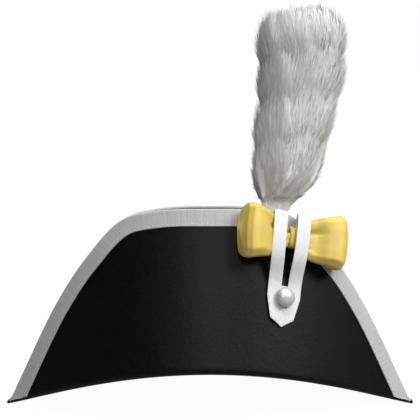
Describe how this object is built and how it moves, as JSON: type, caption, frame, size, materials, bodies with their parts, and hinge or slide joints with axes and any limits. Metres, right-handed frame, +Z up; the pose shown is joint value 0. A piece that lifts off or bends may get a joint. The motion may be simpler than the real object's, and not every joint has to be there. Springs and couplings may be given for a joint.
{
  "type": "bicorne hat",
  "caption": "Felt bicorne with two turned-up flaps edged in galloon, a round crown between them, and a padded bow under a buttoned loop at the foot of an upright feather plume.",
  "frame": {"origin": "centre of the bottom of the box round the hat as it rests, on the surface it rests on", "axes": "+X across the hat towards the horn nearest the plume, +Y from the front flap to the back flap, +Z up; the hat leans back by 11 degrees, as it does when it is put down"},
  "size_m": [0.461, 0.205, 0.4376],
  "materials": {
    "felt": "black wool felt, short nap, faint sheen",
    "galloon": "white ribbed braid, matt",
    "bow_satin": "yellow ribbon, soft sheen",
    "loop_braid": "white ribbon, satin",
    "button_metal": "silvered, polished, slightly soft",
    "feather": "white feathers, fluffy, matt",
    "stem_wire": "drawn wire",
    "sleeve_leather": "dark brown leather, matt"
  },
  "bodies": {
    "root": {"brim": "felt", "crown": "felt", "front_galloon": "galloon", "back_galloon": "galloon", "bow": "bow_satin", "bow_knot": "bow_satin", "cockade_loop": "loop_braid", "button": "button_metal", "plume": "feather", "plume_stem": "stem_wire", "plume_socket": "sleeve_leather"}
  },
  "joints": []
}
